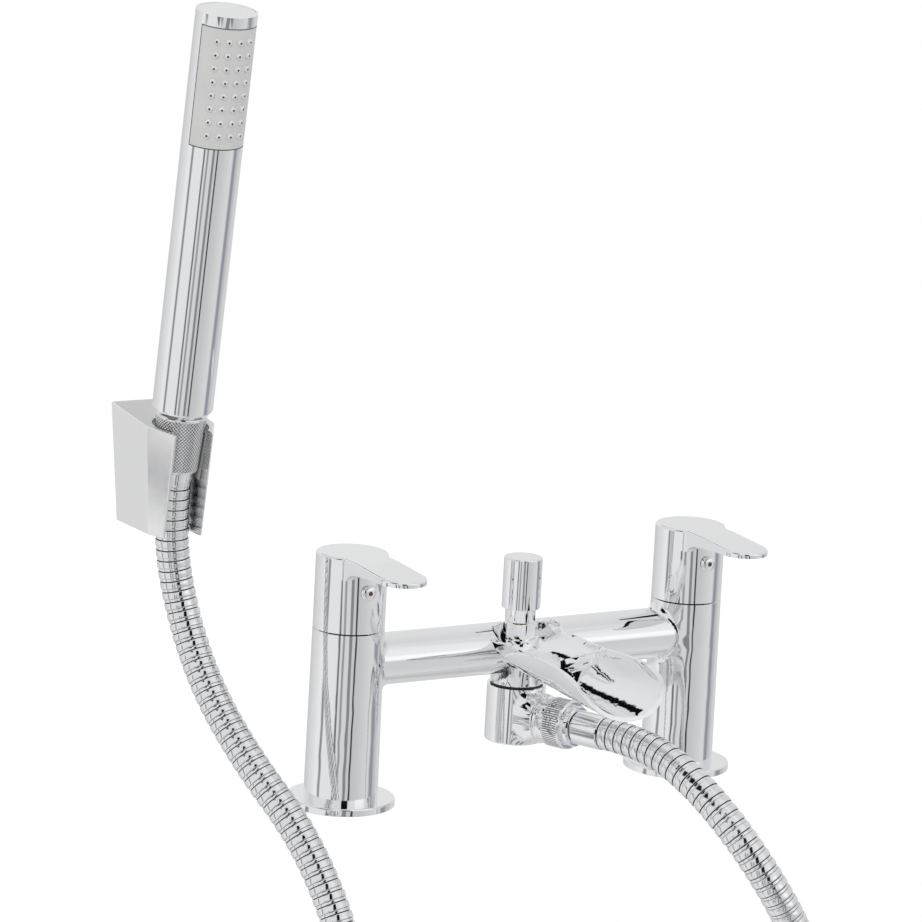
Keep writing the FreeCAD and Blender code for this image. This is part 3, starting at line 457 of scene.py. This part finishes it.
def dress(node, plan, angle=None, finish=None):
    # a smooth, merged copy of a CAD node stands in its place
    mesh = bmesh.new()
    mesh.from_mesh(frame["nodes"][node].data)
    bmesh.ops.remove_doubles(mesh, verts=mesh.verts, dist=plan["merge"])
    bmesh.ops.dissolve_degenerate(mesh, edges=mesh.edges, dist=plan["sliver"])
    skin = keep(mesh, node + "_skin", finishes[finish or slotOf[node]], bodyOf[node], angle or plan["angle"])
    # large faces lead, so that fillets don't bend what the faces beside them mirror
    even = skin.modifiers.new("even normals", "WEIGHTED_NORMAL")
    even.keep_sharp = True
    even.weight = plan["weight"]
    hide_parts(node)


shownNodes = ["mixer_body", "diverter_sleeve", "diverter_knob", "outlet_body", "outlet_o_ring", "outlet_plug",
              "lower_ferrule", "upper_ferrule", "handset_tube", "handset_end_cap", "spray_plate", "bracket_liner",
              "wall_plate"]
for side in ("left_", "right_"):
    shownNodes += [side + name for name in ("base_flange", "base_seal", "deck_washer", "back_nut", "lever_handle",
                                            "cartridge_body")]
for node in shownNodes:
    dress(node, dressPlan)
dress("bracket_body", dressPlan, 12, "satin")
for side in ("left_", "right_"):
    for name in ("deck_washer", "back_nut"):  # under the deck, so the chrome above doesn't mirror them
        bpy.data.objects[side + name + "_skin"].visible_glossy = False
print("CAD pieces dressed")


def spun(profile, steps):
    # radius and height pairs in millimetres, turned once round the Z axis
    mesh = bmesh.new()
    verts = [mesh.verts.new((radius * mm, 0, height * mm)) for radius, height in profile]
    edges = [mesh.edges.new(pair) for pair in zip(verts, verts[1:])]
    bmesh.ops.spin(mesh, geom=verts + edges, cent=(0, 0, 0), axis=(0, 0, 1), dvec=(0, 0, 0), angle=2 * math.pi,
                   steps=steps, use_merge=True, use_duplicate=False)
    bmesh.ops.remove_doubles(mesh, verts=mesh.verts, dist=1e-7)
    bmesh.ops.recalc_face_normals(mesh, faces=mesh.faces)
    return mesh


def sink(mesh, low, high, steps, every, depth, row=0.0):
    # sinks grooves between two heights, straight ones or with a row height two crossing sets, and marks their faces
    # for a darker chrome that paints shade into them
    sunk = []
    for vert in mesh.verts:
        if low * mm < vert.co.z < high * mm:
            turn = round(math.atan2(vert.co.y, vert.co.x) / (2 * math.pi) * steps)
            rise = round(vert.co.z / mm / row) if row else 0
            if (turn + rise) % every == 0 or (turn - rise) % every == 0:
                across = Vector((vert.co.x, vert.co.y, 0))
                vert.co -= across.normalized() * depth * mm
                sunk.append(vert)
    if row:
        bmesh.ops.connect_verts(mesh, verts=sunk)
    # faces with more than one sunk corner take the second material, the painted groove shade
    grooved = set(sunk)
    for face in mesh.faces:
        face.material_index = int(sum(vert in grooved for vert in face.verts) > 1)


def facing(base, axis, turn=0.0):
    # the place of a piece made on the Z axis
    spin = Matrix.Rotation(math.radians(turn), 4, "Z")
    return Matrix.Translation(base) @ up.rotation_difference(axis).to_matrix().to_4x4() @ spin


def setIn(mesh, name, finish, node, place, smooth, standsFor=True):
    bmesh.ops.transform(mesh, matrix=place, verts=mesh.verts)
    thing = keep(mesh, name, finishes[finish], bodyOf[node], smooth)
    if standsFor:
        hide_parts(node)
    return thing


handsetPlan = {
    "base": (-167.5, 21.0, 179.7),
    "lean": 8.0,
    "turned": -7.5,
    "radius": 13.4,
    "rows": 8,
    "columns": 4,
    "rowPitch": 5.95,
    "columnStep": 22.0,
    "topRow": 171.175,
    "steps": 20,
    "nozzle": [(1.45, -0.6), (1.45, 0.12), (1.36, 0.36), (1.14, 0.60), (0.84, 0.78), (0.52, 0.88), (0.44, 0.80),
               (0.0, 0.80)],
    # a near-black disc over each nozzle's top, painted shade standing in for the hole
    "hole": [(0.50, 0.78), (0.50, 0.86), (0.0, 0.86)],
}
lean = math.radians(handsetPlan["lean"])
handsetAxis = Vector((0, -math.sin(lean), math.cos(lean)))
handsetBase = Vector(handsetPlan["base"]) * mm
outletPlan = {"height": 34.0, "turn": 22.5}
outletTurn = math.radians(outletPlan["turn"])
outletAxis = Vector((math.sin(outletTurn), -math.cos(outletTurn), 0))
outletBase = Vector((0, 0, outletPlan["height"])) * mm


def nozzles(plan, profile, name, finish, standsFor):
    whole = bmesh.new()
    single = bpy.data.meshes.new(name + " single")
    spun(profile, plan["steps"]).to_mesh(single)
    for row in range(plan["rows"]):
        for column in range(plan["columns"]):
            angle = math.radians((column - (plan["columns"] - 1) / 2) * plan["columnStep"])
            way = Vector((math.sin(angle), -math.cos(angle), 0))
            place = way * plan["radius"] * mm + up * (plan["topRow"] - row * plan["rowPitch"]) * mm
            count = len(whole.verts)
            whole.from_mesh(single)
            whole.verts.ensure_lookup_table()
            bmesh.ops.transform(whole, matrix=facing(place, way), verts=whole.verts[count:])
    bpy.data.meshes.remove(single)
    place = facing(handsetBase, handsetAxis, plan["turned"])
    setIn(whole, name, finish, "spray_nozzles", place, 40, standsFor)


nozzles(handsetPlan, handsetPlan["nozzle"], "nozzles_skin", "nozzle_rubber", True)
# the near-black discs paint the shade of the nozzle holes
nozzles(handsetPlan, handsetPlan["hole"], "nozzle_holes", "dark", False)
print("spray nozzles made")

edgePlan = {"radius": 13.43, "width": 0.28, "steps": 40, "face": 13.3}  # the plate's face lies outside the last one


def plateEdge(plan):
    # a near-black strip round the spray plate, painted shade for the gap at its border, at the place the CAD plate
    # has
    place = facing(handsetBase, handsetAxis, handsetPlan["turned"])
    back = place.inverted()
    local = [back @ vert.co for vert in frame["nodes"]["spray_plate"].data.vertices]
    outer = [spot for spot in local if math.hypot(spot.x, spot.y) > plan["face"] * mm]
    angles = [math.atan2(spot.x, -spot.y) for spot in outer]
    left, right = min(angles), max(angles)
    low, high = min(spot.z for spot in outer), max(spot.z for spot in outer)
    across = plan["width"] / plan["radius"]
    tall = plan["width"] * mm
    mesh = bmesh.new()
    for first, last, bottom, top in ((left, left + across, low, high), (right - across, right, low, high),
                                     (left, right, low, low + tall), (left, right, high - tall, high)):
        made = bmesh.ops.create_grid(mesh, x_segments=plan["steps"], y_segments=1, size=0.5)["verts"]
        for vert in made:
            angle = first + (last - first) * (vert.co.x + 0.5)
            height = bottom + (top - bottom) * (vert.co.y + 0.5)
            vert.co = Vector((math.sin(angle) * plan["radius"] * mm, -math.cos(angle) * plan["radius"] * mm, height))
    for face in mesh.faces:
        face.normal_update()
        middle = face.calc_center_median()
        if face.normal.x * middle.x + face.normal.y * middle.y < 0:
            face.normal_flip()
    setIn(mesh, "plate_gap_painted_shade", "dark", "spray_plate", place, 40, False)


plateEdge(edgePlan)
print("plate edge made")

hoseNutPlan = {
    "teeth": 66,
    "stepsPerTooth": 4,
    "depth": 0.2,
    "grip": (22.95, 30.55),
    "profile": [(10.48, 28.0), (10.48, 21.0), (10.8, 21.0), (11.3, 21.5), (11.3, 22.5), (10.9, 22.7), (10.9, 22.9),
                (11.25, 23.0), (11.3, 23.2), (11.3, 30.3), (11.25, 30.5), (10.9, 30.6), (10.9, 30.8), (11.2, 31.0),
                (11.2, 31.5), (10.6, 32.0), (8.7, 32.0), (8.7, 32.9), (9.4, 33.3), (9.4, 35.0), (8.8, 35.6),
                (6.78, 35.6), (6.78, 28.0), (10.48, 28.0)],
}


def hoseNut(plan):
    steps = plan["teeth"] * plan["stepsPerTooth"]
    mesh = spun(plan["profile"], steps)
    sink(mesh, *plan["grip"], steps, plan["stepsPerTooth"], plan["depth"])
    nut = setIn(mesh, "hose_nut_skin", "chrome", "hose_nut", facing(outletBase, outletAxis), 22)
    # the groove faces take the darker chrome, painted shade
    nut.data.materials.append(finishes["groove"])


coneNutPlan = {
    "rows": 60,
    "rowsFrom": -1.25,
    "rowsLength": 24.2,
    "steps": 176,
    "stepsPerGroove": 4,
    "depth": 0.2,
    "grip": (-25.3, -1.4),
    "topRadius": 11.4,
    "bottomRadius": 9.7,
    "length": 26.0,
    "above": [(9.56, -0.3), (11.1, -0.3), (11.35, -0.8), (11.3, -1.2)],
    "below": [(9.7, -25.6), (9.5, -26.0), (6.78, -26.0), (6.78, -14.0), (9.28, -14.0), (9.28, -10.0), (9.56, -10.0),
              (9.56, -0.3)],
}


def coneNut(plan):
    slope = (plan["bottomRadius"] - plan["topRadius"]) / plan["length"]
    row = plan["rowsLength"] / plan["rows"]
    heights = [plan["rowsFrom"] - row * i for i in range(plan["rows"] + 1)]
    profile = plan["above"] + [(plan["topRadius"] - slope * height, height) for height in heights] + plan["below"]
    mesh = spun(profile, plan["steps"])
    sink(mesh, *plan["grip"], plan["steps"], plan["stepsPerGroove"], plan["depth"], row)
    nut = setIn(mesh, "cone_nut_skin", "knurled", "cone_nut", facing(handsetBase, handsetAxis), 12)
    # the groove faces take the darker chrome, painted shade
    nut.data.materials.append(finishes["groove"])


hoseNut(hoseNutPlan)
coneNut(coneNutPlan)
print("knurled nuts made")

tailPlan = {
    "side": 90.0,
    "radius": 13.2,
    "bore": 9.5,
    "pitch": 1.81,
    "depth": 0.9,
    "tooth": (0.1, 0.8, 1.0, 1.65),  # where one tooth starts, tops out, leaves the top and ends
    "steps": 48,
    "bottom": -56.0,
    "top": 17.6,
    "tip": [(12.0, -56.0), (12.3, -55.0)],
    "lowThread": (-54.8, -32.2),
    "groove": [(12.4, -32.0), (12.4, -30.5)],
    "highThread": (-30.4, -1.0),
}


def teeth(plan, low, high):
    count = int((high - low) / plan["pitch"])
    root = plan["radius"] - plan["depth"]
    radii = (root, plan["radius"], plan["radius"], root)
    rows = []
    for i in range(count):
        foot = low + (high - low) * i / count
        rows += [(radius, foot + part) for radius, part in zip(radii, plan["tooth"])]
    return rows


def inletTail(side, plan):
    node = ("left_" if side < 0 else "right_") + "inlet_tail"
    profile = [(plan["bore"], plan["bottom"])] + plan["tip"] + teeth(plan, *plan["lowThread"]) + plan["groove"]
    profile += teeth(plan, *plan["highThread"]) + [(plan["radius"], 0.0), (plan["radius"], plan["top"])]
    profile += [(plan["bore"], plan["top"]), (plan["bore"], plan["bottom"])]
    place = Matrix.Translation((side * plan["side"] * mm, 0, 0))
    thing = setIn(spun(profile, plan["steps"]), node + "_skin", "brass", node, place, 35)
    thing.visible_glossy = False


buttonPlan = {
    "side": 90.0,
    "height": 100.6,
    "dome": [(3.0, 13.8), (3.0, 16.2), (3.75, 16.2), (3.75, 16.7), (3.66, 16.95), (3.4, 17.3), (2.95, 17.62),
             (2.35, 17.88), (1.7, 18.02), (1.06, 18.08), (1.06, 17.6), (0.0, 17.6)],
    "dot": [(1.04, 17.6), (1.04, 18.05), (0.9, 18.1), (0.36, 18.1), (0.3, 18.0), (0.0, 18.0)],
}


def indexButton(side, plan):
    word = "left_" if side < 0 else "right_"
    place = facing(Vector((side * plan["side"], 0, plan["height"])) * mm, Vector((0, -1, 0)))
    setIn(spun(plan["dome"], 40), word + "button_skin", "chrome", word + "index_button", place, 40)
    setIn(spun(plan["dot"], 32), word + "dot_skin", slotOf[word + "index_dot"], word + "index_dot", place, 40)


for side in (-1, 1):
    inletTail(side, tailPlan)
    indexButton(side, buttonPlan)
print("tails and buttons made")

# The hose, in the order of the route from the handset down and round to the outlet, in millimetres
hosePlan = {
    "route": [
        (-161.7, 24.2, 87.5), (-156.6, 5.5, 55.5), (-146.4, -17.1, 27.4), (-132.4, -40.0, 1.2),
        (-123.9, -58.8, -29.7), (-119.5, -73.3, -63.8), (-117.2, -84.0, -99.5), (-116.0, -91.5, -136.0),
        (-114.9, -96.3, -173.0), (-112.8, -99.2, -210.1), (-108.5, -100.5, -247.1), (-100.6, -100.8, -283.6),
        (-87.6, -100.5, -318.6), (-67.9, -99.9, -350.3), (-40.7, -99.2, -375.8), (-6.6, -98.7, -391.0),
        (30.7, -98.8, -392.2), (65.6, -99.5, -378.8), (93.6, -101.0, -354.0), (113.1, -103.3, -322.1),
        (124.6, -106.4, -286.5), (129.1, -110.0, -249.4), (128.1, -114.1, -212.0), (122.6, -118.4, -174.9),
        (113.4, -122.6, -138.6), (101.2, -126.7, -103.1), (85.9, -131.1, -68.9), (67.8, -134.9, -35.9),
        (49.9, -125.2, -4.2), (36.5, -101.1, 21.3)
    ],
    "upperEnd": 30.0,  # the upper ferrule's end, below the handset
    "firstRun": 26.0,
    "lowerEnd": 50.3,
    "lastRun": 24.0,
    "radius": 7.5,
    "length": 1.25,
    "pitch": 4.75,
    # along one pitch and how far below the crown, both in millimetres; what lies deeper than the gap takes the
    # near-black finish, painted shade in the slits
    "profile": [(0.00, 1.0), (0.02, 0.22), (0.14, 0.04), (0.34, 0.0), (2.62, 0.0), (2.86, 0.06), (2.98, 0.26),
                (3.00, 0.56), (3.10, 0.56), (3.12, 0.46), (3.22, 0.38), (3.36, 0.34), (4.20, 0.34), (4.34, 0.38),
                (4.44, 0.52), (4.46, 1.0)],
    "gap": 0.6,
    "endDrop": 1.6,
    "steps": 24,
}


def hoseLine(plan):
    first = handsetBase - handsetAxis * plan["upperEnd"] * mm
    last = outletBase + outletAxis * plan["lowerEnd"] * mm
    route = [first, first - handsetAxis * plan["firstRun"] * mm]
    route += [Vector(point) * mm for point in plan["route"]]
    route += [last + outletAxis * plan["lastRun"] * mm, last]
    curve = bpy.data.curves.new("hose line", "CURVE")
    curve.dimensions = "3D"
    curve.resolution_u = 24
    spline = curve.splines.new("NURBS")
    spline.points.add(len(route) - 1)
    for point, place in zip(spline.points, route):
        point.co = (*place, 1)
    spline.order_u = 3
    spline.use_endpoint_u = True
    holder = bpy.data.objects.new("hose line", curve)
    scene.collection.objects.link(holder)
    flat = bpy.data.meshes.new_from_object(holder)
    line = [vert.co.copy() for vert in flat.vertices]
    bpy.data.objects.remove(holder)
    bpy.data.curves.remove(curve)
    bpy.data.meshes.remove(flat)
    return line


def frames(line):
    # distance, place and two sides that don't twist, along a line
    rows = []
    side = line[1].cross(line[0]).normalized()
    gone = 0.0
    for i, place in enumerate(line):
        ahead = (line[min(i + 1, len(line) - 1)] - line[max(i - 1, 0)]).normalized()
        side = (side - ahead * side.dot(ahead)).normalized()
        if i:
            gone += (place - line[i - 1]).length
        rows.append((gone, place, side.copy(), ahead.cross(side)))
    return rows


def bendAlong(mesh, rows):
    # moves a straight piece on the Z axis so that it follows the rows
    spots = [row[0] for row in rows]
    for vert in mesh.verts:
        height = vert.co.z
        low, high = 0, len(spots) - 1
        while high - low > 1:
            middle = (low + high) // 2
            if spots[middle] <= height:
                low = middle
            else:
                high = middle
        first, second = rows[low], rows[high]
        share = (height - first[0]) / max(second[0] - first[0], 1e-9)
        place = first[1].lerp(second[1], share)
        side = first[2].lerp(second[2], share).normalized()
        other = first[3].lerp(second[3], share).normalized()
        vert.co = place + side * vert.co.x + other * vert.co.y


def makeHose(plan):
    line = hoseLine(plan)
    rows = frames(line)
    whole = rows[-1][0]
    turns = round(whole / (plan["pitch"] * mm))
    pitch = whole / turns
    stretch = pitch / (plan["pitch"] * mm)
    radius = plan["radius"]
    profile = [(radius - plan["endDrop"], 0.0)]
    for turn in range(turns):
        profile += [(radius - drop, turn * pitch / mm + along * stretch) for along, drop in plan["profile"]]
    profile += [(radius - plan["endDrop"], whole / mm)]
    mesh = spun(profile, plan["steps"])
    # slit faces deeper than the gap get the near-black finish: painted shade
    for face in mesh.faces:
        middle = face.calc_center_median()
        face.material_index = int(math.hypot(middle.x, middle.y) < (radius - plan["gap"]) * mm)
    bendAlong(mesh, rows)
    bmesh.ops.recalc_face_normals(mesh, faces=mesh.faces)
    hose = keep(mesh, "hose_skin", finishes["hose_metal"], None, 50)
    hose.data.materials.append(finishes["dark"])
    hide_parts("shower_hose")
    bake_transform(hose)


makeHose(hosePlan)
print("hose made")
